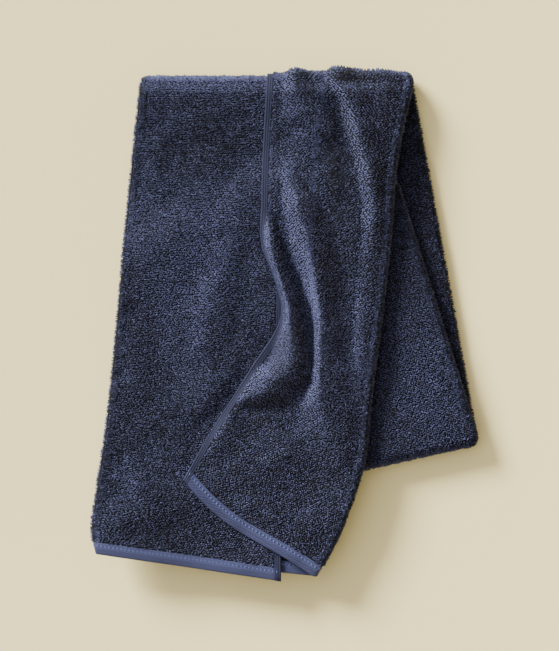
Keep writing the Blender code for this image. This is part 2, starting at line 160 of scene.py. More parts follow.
# Slow waves of the whole front. Columns: radians a metre across and up, phase, height.
UNDULATIONS = ((88.0, 41.0, 0.4, 0.0002), (-57.0, 112.0, 2.1, 0.0002), (131.0, -96.0, 4.0, 0.00012),
               (34.0, 167.0, 1.2, 0.00012), (203.0, 58.0, 5.1, 0.00008), (-149.0, 187.0, 3.3, 0.00008),
               (-230.0, 90.0, 0.9, 0.00006), (40.0, -260.0, 2.7, 0.00006))

CELLS_ACROSS = (28, 8, 30, 12, 64)   # inner panel, left fold, back panel, right fold, flap
CELLS_ALONG = (96, 14, 24, 12, 20)   # front, top fold, back, lower fold, end
EDGE_INSET = ((0.006, 0.006), (0.003, 0.012))   # share of a stretch kept free inside the hems


def ease(x):
    """Rise from 0 to 1 as x does, level at both ends."""
    x = np.clip(x, 0.0, 1.0)
    return x * x * (3.0 - 2.0 * x)


def through(rows, place):
    """Smooth curve through a table's rows: cubics that share the slope at each row."""
    table = np.array(rows)
    at, value = table[:, 0], table[:, 1:]
    slope = np.gradient(value, at, axis=0)
    row = np.clip(np.searchsorted(at, place, side="right") - 1, 0, len(at) - 2)
    step = (at[row + 1] - at[row])[..., None]
    t = np.clip((place - at[row])[..., None] / step, 0.0, 1.0)
    near = (1 + 2 * t) * (1 - t) ** 2 * value[row] + t * (1 - t) ** 2 * step * slope[row]
    far = t * t * (3 - 2 * t) * value[row + 1] - t * t * (1 - t) * step * slope[row + 1]
    return near + far


def ridge(rows, x, y):
    """Height at x, y of a ridge whose crest, height and half widths follow a table up the front.

    It rises from nothing at the left, and falls to the right to the share that stays.
    """
    crest, height, half_left, half_right, rest = np.moveaxis(through(rows, y), -1, 0)
    small = 0.001
    lean = (through(rows, y + small)[..., 0] - through(rows, y - small)[..., 0]) / (2 * small)
    off = (x - crest) / np.sqrt(1.0 + lean * lean)
    fall = ease(off / half_right)
    return height * np.where(off < 0.0, ease(1.0 + off / half_left), 1.0 - (1.0 - rest) * fall)


def swells(rows, x, y):
    """Sum of long soft mounds, each falling from its middle to nothing at its half length and width."""
    total = np.zeros_like(x)
    for middle_x, middle_y, half_length, half_width, turn, height in rows:
        cos, sin = np.cos(np.radians(turn)), np.sin(np.radians(turn))
        lengthwise = ((x - middle_x) * cos + (y - middle_y) * sin) / half_length
        widthwise = ((y - middle_y) * cos - (x - middle_x) * sin) / half_width
        total = total + height * ease(1.0 - np.hypot(lengthwise, widthwise))
    return total


def waves(rows, x, y):
    """Sum of sine waves, each with its own radians a metre across and up, its phase and its height."""
    return sum(height * np.sin(turn_x * x + turn_y * y + phase) for turn_x, turn_y, phase, height in rows)


def unit_of(vectors):
    """The same directions, one long."""
    return vectors / np.linalg.norm(vectors, axis=-1, keepdims=True)


def across_line(row, x, y):
    """Distance of x, y past the line through a row's two ends, towards the top edge."""
    left, right = np.array(row[:2]), np.array(row[2:])
    unit = unit_of(right - left)
    return (y - left[1]) * unit[0] - (x - left[0]) * unit[1]


def on_end(x, y):
    """Share of the height of the strip's end that the front has at that place."""
    return 1.0 - ease(across_line(END_ROW, x, y) / STEP)


def crown_height(y):
    """Rise of the cloth just below the top edge, most of which it loses again further down."""
    run = TOP_EDGE + CROWN_LEAD - y
    return CROWN * ease(run / CROWN_LENGTH) * (1.0 - SETTLED * ease((run - CROWN_LENGTH) / SETTLE_LENGTH))


def front_height(x, y):
    """How far the front lies above its height at the top edge, apart from the crown.

    It steps up onto the end of the strip. Past the lower fold and the folded-away left side it comes
    down a little, and once more before its hem, where its left corner lifts.
    """
    below = -across_line(LOWER_ROW, x, y) - ROLL
    beside = across_line(LOWER_ROW[:2] + END_ROW[:2], x, y)
    past = np.hypot(np.maximum(below, 0.0), np.maximum(beside, 0.0))
    hang = ease((past - 2 * PITCH) / OVERHANG)
    uneven = sum(WAVE * (1.0 + np.sin(turn_x * x + turn_y * y)) for turn_x, turn_y in WAVE_TURNS)
    settled = on_end(x, y) * 3 * PITCH * (1.0 - hang) + HEM_RISE * hang
    low, high = END_DROP_ROWS
    drop = END_DROP * (1.0 - ease((y - low) / (high - low)))
    return settled + uneven * ease((TOP_EDGE - y) / STEP) - drop + swells(CORNER_LIFT, x, y)


def edge_places(along):
    """Plan places of the strip's four edges: inner hem, left fold, right fold and the flap's hem.

    Up the front they follow their tables. Past the top edge the two folds run straight from row to
    row, and each hem keeps its distance from its fold.
    """
    up = np.clip(along, 0.0, 1.0)
    front = []
    for rows in (INNER_HEM, LEFT_FOLD, RIGHT_FOLD, FLAP_HEM):
        y = rows[0][0] + (TOP_EDGE - rows[0][0]) * up
        front.append(np.stack([through(rows, y)[..., 0], y], axis=-1))
    to_lower = np.clip(along - 2.0, 0.0, 1.0)[..., None]
    to_end = np.clip(along - 4.0, 0.0, 1.0)[..., None]
    lower, end = np.array(LOWER_ROW), np.array(END_ROW)
    top = np.array([LEFT_FOLD[-1][1], TOP_EDGE, RIGHT_FOLD[-1][1], TOP_EDGE])
    row = top + (lower - top) * to_lower + (end - lower) * to_end
    left, right = row[..., :2], row[..., 2:]
    unit = unit_of(right - left)
    inner = left + unit * (INNER_HEM[-1][1] - LEFT_FOLD[-1][1])
    flap = right - unit * (RIGHT_FOLD[-1][1] - FLAP_HEM[-1][1])
    on_front = (along < 1.0)[..., None]
    away = (inner, left, right, flap)
    return [np.where(on_front, here, there) for here, there in zip(front, away)]


def towel(across, along):
    """Middle of the cloth, as points in space.

    across runs 0 to 5 over inner panel, left fold, back panel, right fold and flap. along runs 0 to 5
    over front, top fold, back, lower fold and end. A point has a plan place on its row and a depth, its
    distance outside the back panel. The cross folds turn both together about one level line.
    """
    inner, left, right, flap = edge_places(along)
    unit = right - left
    row_length = np.linalg.norm(unit, axis=-1)
    unit = unit / row_length[..., None]
    outward = np.stack([-unit[..., 1], unit[..., 0]], axis=-1)
    turn = np.pi * (np.clip(along - 1.0, 0.0, 1.0) + np.clip(along - 3.0, 0.0, 1.0))
    part = [np.clip(across - start, 0.0, 1.0) for start in range(5)]

    # under the back the inner panel comes down to the surface wherever the flap isn't below it
    panel = np.linalg.norm(inner - left, axis=-1)
    clear = row_length - np.linalg.norm(flap - right, axis=-1) - (1.0 - part[0]) * panel - PITCH
    in_back = ease((along - 2.0) / SINK_SHARE) * ease((3.0 - along) / SINK_SHARE)
    inner_depth = PITCH * (1.0 + ease(clear / SINK) * in_back)

    left_radius = inner_depth / 2
    left_middle = left + unit * (left_radius + TERRY / 2)[..., None]
    right_middle = right - unit * (PITCH + TERRY / 2)
    left_angle, right_angle = np.pi * part[1], np.pi * part[3]

    flap_run = flap - right_middle
    flap_width = np.linalg.norm(flap_run, axis=-1)
    bow = BOW * np.sin(np.pi * part[4] ** BOW_SKEW) * ease(1.0 - 2.0 * along)
    on_flap = right_middle + flap_run * part[4][..., None] - bow[..., None] * np.array([0.0, 1.0])
    free = FOLD_SHARE + (1.0 - FOLD_SHARE) * ease(part[4] * flap_width / FOLD_DIP)
    free = free * ease((1.0 - part[4]) * flap_width / HEM_DIP)
    free = free * ease((1.0 - turn / np.pi) / GATHER_END)
    on_panel = inner + (left_middle - inner) * part[0][..., None]
    panel_x, panel_y, flap_x, flap_y = on_panel[..., 0], on_panel[..., 1], on_flap[..., 0], on_flap[..., 1]
    ridges = sum(ridge(rows, flap_x, flap_y) for rows in RIDGES)
    ridges = (ridges + swells(FLAP_SWELLS, flap_x, flap_y)) * free
    on_top = (along < 1.0) * ease((1.0 - along) / TOP_FADE)
    beside_flap = ease((through(FLAP_HEM, panel_y)[..., 0] - panel_x) / FLAP_MARGIN)
    panel_rise = swells(PANEL_SWELLS, panel_x, panel_y) * on_top * beside_flap
    panel_rise = panel_rise * ease((1.0 - part[0]) / FOLD_FADE)

    plans = [on_panel,
             left_middle - unit * (left_radius * np.sin(left_angle))[..., None],
             left_middle + (right_middle - left_middle) * part[2][..., None],
             right_middle + unit * (PITCH * np.sin(right_angle))[..., None],
             on_flap]
    depths = [inner_depth + panel_rise,
              left_radius * (1.0 + np.cos(left_angle)),
              np.zeros_like(inner_depth),
              PITCH * (1.0 - np.cos(right_angle)) + ridges * ease(part[3]),
              2.0 * PITCH + ridges]
    stretch = np.clip(np.floor(across), 0, 4)
    plan = sum(np.where((stretch == n)[..., None], plans[n], 0.0) for n in range(5))
    depth = sum(np.where(stretch == n, depths[n], 0.0) for n in range(5))

    radius = CORE + depth
    row_share = ((plan - left) * unit).sum(axis=-1) / row_length
    draw_in = CORNERS[0] * (1.0 - row_share) ** 3 - CORNERS[1] * row_share ** 3
    draw_in = draw_in * np.abs(np.sin(turn)) * np.minimum(radius / (CORE + 2 * PITCH), 1.0)
    place = plan + outward * (radius * np.sin(turn))[..., None] + unit * draw_in[..., None]
    height = ROLL + radius * np.cos(turn)
    plan_x, plan_y = plan[..., 0], plan[..., 1]
    on_front = front_height(plan_x, plan_y) + waves(UNDULATIONS, plan_x, plan_y) * on_top
    crown = crown_height(place[..., 1]) * (1.0 - on_end(place[..., 0], place[..., 1]))
    height = height + np.where(along < 1.0, on_front, 0.0)
    height = height + np.where(along < 1.5, crown * np.maximum(np.cos(turn), 0.0), 0.0)
    return np.concatenate([place + SHIFT, height[..., None]], axis=-1)


def directions(across, along):
    """Steps of the cloth for one unit across and along, and its unit normal, from nearby differences."""
    small = 0.001
    steps = []
    for step_across, step_along in ((small, 0.0), (0.0, small)):
        ahead = np.clip(across + step_across, 0, 5), np.clip(along + step_along, 0, 5)
        behind = np.clip(across - step_across, 0, 5), np.clip(along - step_along, 0, 5)
        gone = ahead[0] - behind[0] + ahead[1] - behind[1]
        steps.append((towel(*ahead) - towel(*behind)) / gone[..., None])
    return steps[0], steps[1], unit_of(np.cross(steps[0], steps[1]))


def stations(cells, inset):
    """Values from 0 to the number of stretches, with the given cells in each and an inset at both ends."""
    runs = [start + np.arange(count) / count for start, count in enumerate(cells)]
    values = np.append(np.concatenate(runs), len(cells))
    values[0], values[-1] = inset[0], len(cells) - inset[1]
    return values


def closed_shell(middle, normal, thickness):
    """Vertices and four-cornered faces of a sheet of the given thickness round a grid of middle points."""
    rows, columns = middle.shape[:2]
    points = np.concatenate([(middle + normal * thickness / 2).reshape(-1, 3),
                             (middle - normal * thickness / 2).reshape(-1, 3)])
    index = np.arange(rows * columns).reshape(rows, columns)
    top = np.stack([index[:-1, :-1], index[1:, :-1], index[1:, 1:], index[:-1, 1:]], axis=-1)
    top = top.reshape(-1, 4)
    under = top[:, ::-1] + rows * columns
    rim = np.concatenate([index[:-1, 0], index[-1, :-1], index[:0:-1, -1], index[0, :0:-1]])
    after = np.roll(rim, -1)
    side = np.stack([after, rim, rim + rows * columns, after + rows * columns], axis=-1)
    return points, np.concatenate([top, under, side])


def linear(code):
    """Linear colour of an sRGB hex code, with full alpha."""
    value = np.array([int(code[start:start + 2], 16) for start in (1, 3, 5)]) / 255
    value = np.where(value <= 0.04045, value / 12.92, ((value + 0.055) / 1.055) ** 2.4)
    return (*value.tolist(), 1.0)


def add_node(material, kind, settings=(), links=()):
    """New node with its settings, by property or socket name, and its links.

    Each link names this node's input, the node that it comes from and that node's output.
    """
    tree = material.node_tree
    node = tree.nodes.new(kind)
    for name, value in dict(settings).items():
        if name in node.inputs and not hasattr(node, name):
            node.inputs[name].default_value = value
        else:
            setattr(node, name, value)
    for socket, source, output in links:
        tree.links.new(source.outputs[output], node.inputs[socket])
    return node


def new_material(name, colour, settings):
    """Material of a mean colour and its shader, with more of the shader's settings."""
    material = bpy.data.materials.new(name)
    material.use_nodes = True
    shader = material.node_tree.nodes["Principled BSDF"]
    shader.inputs["Base Color"].default_value = linear(colour)
    for socket, value in settings.items():
        shader.inputs[socket].default_value = value
    return material, shader


def cotton(name, colour, roughness, sheen, sheen_tint):
    """Material of dyed cotton and its shader: hardly any gloss, and a soft nap at grazing angles."""
    return new_material(name, colour, {"Roughness": roughness, "Specular IOR Level": 0.2,
                                       "Sheen Weight": sheen, "Sheen Roughness": 0.5,
                                       "Sheen Tint": linear(sheen_tint)})


def add_tones(material, shader, source, dark, light):
    """Colours the material from a node's values: 0 is the dark colour and 1 the light one."""
    tones = add_node(material, "ShaderNodeValToRGB", links=[("Fac", source, "Fac")])
    tones.color_ramp.elements[0].color = linear(dark)
    tones.color_ramp.elements[1].color = linear(light)
    material.node_tree.links.new(tones.outputs["Color"], shader.inputs["Base Color"])
    return tones


def add_relief(material, shader, source, strength, distance):
    """Fine relief of the material from a node's values, distance high."""
    rise = add_node(material, "ShaderNodeBump", {"Strength": strength, "Distance": distance},
                    [("Height", source, "Fac")])
    material.node_tree.links.new(rise.outputs["Normal"], shader.inputs["Normal"])


def fine_noise(material, size, detail):
    """Even noise through space with grains of about the given size."""
    spot = add_node(material, "ShaderNodeTexCoord")
    return add_node(material, "ShaderNodeTexNoise", {"Scale": 1 / size, "Detail": detail},
                    [("Vector", spot, "Object")])


def new_piece(name, points, faces, material, normals=None):
    """Smooth mesh piece of points and of faces that all have as many corners, on the towel's body."""
    corners = faces.shape[1]
    mesh = bpy.data.meshes.new(name)
    mesh.vertices.add(len(points))
    mesh.vertices.foreach_set("co", points.astype(np.float32).ravel())
    mesh.loops.add(faces.size)
    mesh.loops.foreach_set("vertex_index", faces.astype(np.int32).ravel())
    mesh.polygons.add(len(faces))
    mesh.polygons.foreach_set("loop_start", np.arange(0, faces.size, corners, dtype=np.int32))
    mesh.update(calc_edges=True)
    mesh.shade_smooth()
    if normals is not None:
        mesh.normals_split_custom_set_from_vertices(normals)
    mesh.materials.append(material)
    piece = add_object(name, mesh)
    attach(piece, "root")
    return piece


def sheet_grid(inset_across, inset_along, thickness):
    """Points and faces of the whole cloth as one closed sheet, its edges set in by the given shares."""
    across = stations(CELLS_ACROSS, inset_across)
    along = stations(CELLS_ALONG, inset_along)
    across, along = np.meshgrid(across, along, indexing="ij")
    return closed_shell(towel(across, along), directions(across, along)[2], thickness)


# the model's outline is centred, so the cloth here is moved by what centres it too
SHIFT = np.zeros(2)
outline = sheet_grid((0.0, 0.0), (0.0, 0.0), TERRY)[0][:, :2]
middle_of_outline = (outline.min(axis=0) + outline.max(axis=0)) / 2
SHIFT = np.mean(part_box("towel"), axis=0)[:2] - middle_of_outline

# woven cotton ground: matt, and darker than the pile because it lies in its shade
ground_cotton, ground_shader = cotton("woven_cotton_ground", "#08090C", 0.95, 0.1, "#8C93B8")
weave = fine_noise(ground_cotton, 0.0016, 2.0)
add_relief(ground_cotton, ground_shader, weave, 0.6, 0.0006)
add_tones(ground_cotton, ground_shader, weave, "#050608", "#0C0D12")

points, quads = sheet_grid(*EDGE_INSET, GROUND)
cloth = new_piece("folded_cloth", points, quads, ground_cotton)
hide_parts("towel")

# ---- pile ----
# Loops of soft cotton yarn stand on the outer face of the cloth. Each leans over and lies mostly across
# the towel, so the pile reads as short wavy strokes with dark gaps between them.
LOOP_SIZE = (0.0033, 0.0013, 0.0015)  # length, width and height of a loop
LOOP_SPREAD = 0.20                    # how much each of those varies
LOOP_BEND = 0.35                      # how far its ends are askew, as a share of its width
LOOP_LEAN = 0.25                      # how far its ends differ in height, as a share of it
# Lengthwise, sideways and upward places of a loop's eight corners, as shares of its size.
LOOP_SHAPE = np.array([(-0.5, -0.21, -0.21, -0.21, 0.21, 0.21, 0.21, 0.5),
                       (0.0, 0.5, 0.0, -0.5, 0.5, 0.0, -0.5, 0.0),
                       (-0.35, 0.15, 1.0, 0.15, 0.15, 1.0, 0.15, -0.35)])
LOOP_ENDS = np.array((0, 1, 1, 1, -1, -1, -1, 0))   # which of its two ends a corner moves with
LOOP_FACES = np.array([(2, 1, 0), (3, 2, 0), (1, 3, 0), (1, 2, 5), (1, 5, 4), (2, 3, 6), (2, 6, 5),
                       (3, 1, 4), (3, 4, 6), (4, 5, 7), (5, 6, 7), (6, 4, 7)])
LOWEST = 0.0002                       # no loop goes nearer the surface than this
TILT = 0.22                           # how far a loop's face is turned aside, as a slope
ROUND = (1.89, 1.35)                  # and how far its ends and its sides are
JITTER = 0.28                         # how far a loop is out of its place, as a share of a step
SWIRL = 30.0                          # degrees that neighbouring loops are turned aside together
ASKEW = 16.0                          # and each one by itself
LIFT = 0.2                            # how much taller neighbouring loops are together
# Waves that the swirl and the lift follow. Columns as for the slow waves of the front.
SWIRL_WAVES = ((310, 190, 0.0, 1 / 3), (-240, 420, 1.3, 1 / 3), (560, -130, 4.1, 1 / 3))
LIFT_WAVES = ((247, 527, 0.0, 1 / 3), (546, -408, 1.3, 1 / 3), (-169, 952, 4.1, 1 / 3))
FOLD_LOOPS = 0.6                      # how much taller loops are where a fold opens the pile
FOLD_SHADE = 0.20                     # how much darker it is painted there: painted shade
FOLD_REACH = 0.05                     # share of a panel's width over which that fades

# How light a loop is, from 0 to 1, and how much that varies from loop to loop and in soft patches.
LIGHTNESS, LIGHTNESS_SPREAD, MOTTLED = 0.41, 0.17, 0.09
LIT_BRUSHED_SIDE = (-0.94, 0.34, 0.0)     # facing the light: pile brushed and painted lighter
LIT_BRUSHED_SLOPE = 2.2                   # how soon that comes with the slope
PAINTED_SLOPE_LIGHT = 0.46                  # how much lighter it is painted: painted light
LIT_SLOPE_EVEN = 0.08                   # how much less its lightness varies there
BRUSHED_FLAT = 0.2                    # how much flatter its loops lie
BRUSHED_SMOOTH = 0.45                 # and how much less rounded they are
FOLD_UNEVEN = 0.10                    # how much more it varies along the folds
# Lighter or darker patches of pile. Columns as for the swells, with how much lighter last.
# Painted light on the top edge band; painted shade in the flap's trough and grooves.
TONE_AND_PAINTED_SHADING = ((-0.100, 0.604, 0.080, 0.016, 0.0, 0.25), (-0.105, 0.370, 0.160, 0.070, 75.0, 0.26),
          (-0.170, 0.130, 0.060, 0.040, 30.0, 0.12), (0.160, 0.250, 0.130, 0.070, 105.0, 0.24),
          (-0.100, 0.530, 0.090, 0.055, 20.0, -0.16), (-0.160, 0.065, 0.080, 0.035, 0.0, -0.10),
          (0.061, 0.506, 0.100, 0.026, 93.0, -0.30), (-0.005, 0.284, 0.060, 0.022, 78.0, -0.36),
          (0.015, 0.300, 0.080, 0.013, 90.0, -0.22), (0.049, 0.330, 0.100, 0.018, 90.0, -0.14),
          (0.072, 0.620, 0.110, 0.022, 0.0, -0.32))

PILE_FACE = -1                        # the cloth's outer face is against its normal
SIDE_HEM_WIDTH = 0.0085
END_HEM_WIDTH = 0.016
RAGGED = 0.0006                       # unevenness of the line where the pile meets a hem
COVERED = 0.014                       # how far the pile goes on under a layer that covers it
# Columns: name, across from and to, along from and to, spacing across and along, where it is kept.
PATCHES = (("pile_panel_upper", 0.0, 2.0, 0.44, 1.60, 0.0027, 0.00215, "all"),
           ("pile_panel_lower", 0.0, 2.0, 0.00, 0.44, 0.0027, 0.00215, "all"),
           ("pile_flap_upper", 3.0, 5.0, 0.44, 1.60, 0.0027, 0.00215, "all"),
           ("pile_flap_lower", 3.0, 5.0, 0.00, 0.44, 0.0027, 0.00215, "all"),
           ("pile_strip_end", 3.0, 5.0, 3.00, 5.00, 0.0027, 0.00215, "beside the front"),
           ("pile_strip_back", 2.0, 4.0, 1.60, 3.10, 0.0027, 0.00215, "beside the strip's end"),
           ("pile_left_fold", 0.97, 1.80, 0.00, 1.50, 0.0013, 0.0022, "all"),
           ("pile_right_fold", 3.20, 4.03, 0.00, 1.50, 0.0015, 0.0022, "all"),
           ("pile_end_fold", 3.20, 4.03, 3.00, 5.00, 0.0015, 0.0022, "beside the front"),
           ("pile_left_folds", 0.9, 2.0, 2.00, 5.00, 0.0026, 0.0030, "all"),
           ("pile_lower_fold", 0.0, 0.9, 3.00, 4.00, 0.0030, 0.0030, "all"),
           ("pile_under_panel", 0.0, 0.9, 2.00, 3.00, 0.0036, 0.0036, "all"),
           ("pile_under_flap", 4.0, 5.0, 1.60, 3.00, 0.0036, 0.0036, "all"),
           ("pile_under_front", 2.0, 3.0, 0.00, 0.70, 0.0034, 0.0034, "past the folds"))


def kept(where, x, y):
    """Whether a loop at that plan place can be seen past the layers that cover the patch."""
    if where == "all":
        return np.ones(x.shape, bool)
    if where == "past the folds":
        beside = across_line(LOWER_ROW[:2] + END_ROW[:2], x, y)
        return (beside > -COVERED) | (across_line(LOWER_ROW, x, y) < COVERED)
    right_fold = through(RIGHT_FOLD, np.clip(y, RIGHT_FOLD[0][0], TOP_EDGE))[..., 0]
    shown = x > right_fold - COVERED
    if where == "beside the strip's end":
        shown &= across_line(LOWER_ROW[2:] + END_ROW[2:], x, y) < COVERED
    return shown


def run_along(points):
    """Distances of a line's points from its first, along the line."""
    return np.append(0.0, np.cumsum(np.linalg.norm(np.diff(points, axis=0), axis=-1)))


def spread(start, stop, other, axis, step):
    """Values from start to stop, their distances along the cloth, and the number of steps that fit."""
    values = np.linspace(start, stop, 400)
    fixed = np.full_like(values, other)
    run = run_along(towel(values, fixed) if axis == 0 else towel(fixed, values))
    return values, run, int(run[-1] / step)


def pile_places(across_from, across_to, along_from, along_to, step_across, step_along):
    """Places on the cloth for one patch's loops.

    They are a grid staggered by half a step in every other row, and each is moved at random a little.
    The columns are spaced on a row that stays clear of the turns.
    """
    clear_row = (along_from + along_to) / 2 if along_from > 1.5 else max(along_from, 0.3)
    values, run, columns = spread(across_from, across_to, clear_row, 0, step_across)
    values_up, run_up, rows = spread(along_from, along_to, (across_from + across_to) / 2, 1, step_along)
    column, row = np.meshgrid(np.arange(columns), np.arange(rows), indexing="ij")
    jitter = chance.uniform(-JITTER, JITTER, (2, *column.shape))
    column = (column + 0.5 * (row % 2) + 0.25 + jitter[0]) / columns
    row = (row + 0.5 + jitter[1]) / rows
    across = np.interp(column * run[-1], run, values)
    along = np.interp(row * run_up[-1], run_up, values_up)
    return across.ravel(), along.ravel()


def mottle(places):
    """Uneven patches of lighter and darker pile, about 1 cm wide, between about -1 and 1.

    They are the sum of sine waves in six directions, each with its own length and bent by a slower one.
    """
    x, y, z = places.T
    total = 0.0
    for turn in np.linspace(0.3, 2.8, 6):
        wave = 420 * (1 + 0.5 * np.sin(5 * turn))
        bend = 1.5 * np.sin(170 * y - 90 * x + 3 * turn)
        total = total + np.sin(wave * (np.cos(turn) * x + np.sin(turn) * y + 0.5 * z) + bend + 7 * turn)
    return total / 3


def arched_loops(place, lengthwise, sideways, up, size, relief):
    """Vertices, triangles and vertex normals of loops.

    Each is two rings of three, raised and slightly askew, between two tips in the ground. It is turned
    its own way by a little and rounded off to its ends and sides, both by its share of relief.
    """
    count = len(place)
    length, width, height = (size[:, k, None] for k in range(3))
    shape_x, shape_y, shape_z = LOOP_SHAPE
    bend = chance.uniform(-LOOP_BEND, LOOP_BEND, (count, 1)) * LOOP_ENDS
    lean = 1.0 + chance.uniform(-LOOP_LEAN, LOOP_LEAN, (count, 1)) * LOOP_ENDS
    local_x = length * shape_x
    local_y = width * (shape_y + bend)
    local_z = height * shape_z * lean
    points = (place[:, None] + lengthwise[:, None] * local_x[..., None]
              + sideways[:, None] * local_y[..., None] + up[:, None] * local_z[..., None])
    points[..., 2] = np.maximum(points[..., 2], LOWEST)
    tilt = TILT * chance.normal(size=(count, 2))
    slope_x = relief[:, None] * (tilt[:, :1] + ROUND[0] * shape_x)
    slope_y = relief[:, None] * (tilt[:, 1:] + ROUND[1] * shape_y)
    normals = unit_of(up[:, None] + lengthwise[:, None] * slope_x[..., None]
                      + sideways[:, None] * slope_y[..., None])
    faces = (np.arange(count)[:, None, None] * LOOP_SHAPE.shape[1] + LOOP_FACES).reshape(-1, 3)
    return points.reshape(-1, 3), faces, normals.reshape(-1, 3)


def add_map(piece, name, places):
    """UV map that gives every vertex its own place, in all the faces that meet there."""
    corners = np.empty(len(piece.data.loops), dtype=np.int32)
    piece.data.loops.foreach_get("vertex_index", corners)
    layer = piece.data.uv_layers.new(name=name)
    layer.data.foreach_set("uv", places[corners].astype(np.float32).ravel())


def loop_cells(count):
    """Places that lay every loop flat in a small square cell of its own, for a picture of the colours."""
    side = int(np.ceil(np.sqrt(count)))
    cell = np.stack([np.arange(count) % side, np.arange(count) // side], axis=-1)
    return ((cell[:, None] + 0.5 + 0.8 * LOOP_SHAPE[:2].T) / side).reshape(-1, 2)


# soft combed cotton yarn, dyed navy: matt, with a bluish nap where the light grazes it
pile_cotton, pile_shader = cotton("navy_terry_loops", "#2F3145", 0.9, 0.26, "#929AD0")
shade = add_node(pile_cotton, "ShaderNodeAttribute", {"attribute_name": "shade"})
add_tones(pile_cotton, pile_shader, shade, "#15161A", "#474A68")
add_relief(pile_cotton, pile_shader, fine_noise(pile_cotton, 0.0009, 2.0), 0.5, 0.0004)

chance = np.random.default_rng(7)
for name, *patch, where in PATCHES:
    across, along = pile_places(*patch)
    middle = towel(across, along)
    step_across, step_along, normal = directions(across, along)
    wide, long = np.linalg.norm(step_across, axis=-1), np.linalg.norm(step_along, axis=-1)
    from_side = np.minimum(across, 5.0 - across) * wide
    from_end = np.minimum(along, 5.0 - along) * long
    keep = from_side > SIDE_HEM_WIDTH + RAGGED * chance.normal(size=len(along))
    keep &= kept(where, *(middle[:, :2] - SHIFT).T)
    keep &= from_end > END_HEM_WIDTH + RAGGED * chance.normal(size=len(along))
    across, along, middle = across[keep], along[keep], middle[keep]
    up, level = PILE_FACE * normal[keep], (step_across / wide[:, None])[keep]

    # how the loops lie
    place = middle + up * (GROUND / 2 - 0.0001)
    swirl = waves(SWIRL_WAVES, middle[:, 0], middle[:, 1])
    angle = np.radians(SWIRL) * swirl + np.radians(ASKEW) * chance.normal(size=len(middle))
    beside = np.cross(up, level)
    lengthwise = level * np.cos(angle)[:, None] + beside * np.sin(angle)[:, None]
    sideways = np.cross(up, lengthwise)
    size = np.array(LOOP_SIZE) * (1.0 + LOOP_SPREAD * chance.uniform(-1, 1, (len(middle), 3)))
    at_fold = np.isin(np.floor(across), (1, 3)) | np.isin(np.floor(along), (1, 3))
    # slopes that face the light: flatter loops, and painted light further down
    lit_brushed = np.clip(up @ LIT_BRUSHED_SIDE * LIT_BRUSHED_SLOPE, 0.0, 1.0) * (up[:, 2] > 0.5)
    size[:, 2] *= 1.0 + FOLD_LOOPS * at_fold
    size[:, 2] *= 1.0 + LIFT * waves(LIFT_WAVES, middle[:, 0], middle[:, 1])
    size[:, 2] *= 1.0 - BRUSHED_FLAT * lit_brushed
    relief = 1.0 - BRUSHED_SMOOTH * lit_brushed
    points, faces, normals = arched_loops(place, lengthwise, sideways, up, size, relief)
    piece = new_piece(name, points, faces, pile_cotton, normals)
    add_map(piece, "OFBake", loop_cells(len(middle)))

    # how light they are: tone at random and in patches, painted light on slopes that face the light,
    # painted light and shade in some patches, and painted shade along the folds
    tone_and_shading = swells(TONE_AND_PAINTED_SHADING, *(middle[:, :2] - SHIFT).T) * np.clip(2 * up[:, 2], 0.0, 1.0)
    past_fold = np.minimum(np.abs(across - 1.5), np.abs(across - 3.5)) - 0.5
    near_fold = np.clip((FOLD_REACH - past_fold) / FOLD_REACH, 0.0, 1.0)
    varied = LIGHTNESS_SPREAD - LIT_SLOPE_EVEN * lit_brushed + FOLD_UNEVEN * near_fold
    lightness = LIGHTNESS + varied * chance.normal(size=len(middle)) + MOTTLED * mottle(middle)
    lightness += PAINTED_SLOPE_LIGHT * lit_brushed + tone_and_shading - FOLD_SHADE * near_fold
    attribute = piece.data.attributes.new("shade", "FLOAT", "POINT")
    values = np.repeat(np.clip(lightness, 0.0, 1.0), LOOP_SHAPE.shape[1])
    attribute.data.foreach_set("value", values.astype(np.float32))

# ---- end hems ----
# The two ends of the cloth are turned over twice and sewn down as flat woven bands, 16 mm wide. Their
# outer part, where three layers lie on each other, is firmer and darker.
RIB_PITCH = 0.0024         # of the ribs of the weave, drawn coarser than they are so that they show
TURNED_WIDTH = 0.0078      # of the outer part
TURNED_BLEND = 0.001       # half the width over which it passes into the inner part
TURNED_SHADE = 0.74        # and its lightness against that
# Section of the hem. Columns: distance in from the edge, height off the middle of the cloth.
END_HEM_PROFILE = ((0.0, 0.0), (0.0002, 0.0006), (0.0007, 0.00105), (0.0016, 0.0013),
                   (0.0040, 0.00135), (0.0075, 0.0013), (0.0100, 0.00118), (0.0110, 0.00095),
                   (0.0120, 0.00118), (0.0140, 0.0013), (0.0153, 0.0011), (0.0160, 0.0006),
                   (0.0163, 0.0))


def band(edge, inward, profile):
    """Grid of points of a hem round an edge of the cloth, closed round its section.

    edge gives the parameters along the edge, inward the sign and the axis that lead in from it. Every
    point is its section's distance in from the edge and its height off the middle, on either face.
    """
    upper = np.array(profile)
    section = np.concatenate([upper, upper[-2:0:-1] * (1.0, -1.0)])
    across, along = edge
    step = directions(across, along)[inward[1]]
    speed = np.linalg.norm(step, axis=-1)
    shift = inward[0] * section[None, :, 0] / speed[:, None]
    across = across[:, None] + shift * (inward[1] == 0)
    along = along[:, None] + shift * (inward[1] == 1)
    normal = directions(across, along)[2]
    return towel(across, along) + normal * section[None, :, 1, None]


def ring_faces(rows, columns):
    """Four-cornered faces of a grid that closes round its columns."""
    index = np.arange(rows * columns).reshape(rows, columns)
    after = np.roll(index, -1, axis=1)
    return np.stack([index[:-1], after[:-1], after[1:], index[1:]], axis=-1).reshape(-1, 4)


def tube_faces(rows, columns, flip):
    """The same faces, with both ends of the tube closed too."""
    near = np.arange(columns // 2)
    cap = np.stack([near, near + 1, (columns - near - 1) % columns, (columns - near) % columns], axis=-1)
    faces = np.concatenate([ring_faces(rows, columns), cap[:, ::-1], cap + (rows - 1) * columns])
    return faces[:, ::-1] if flip else faces


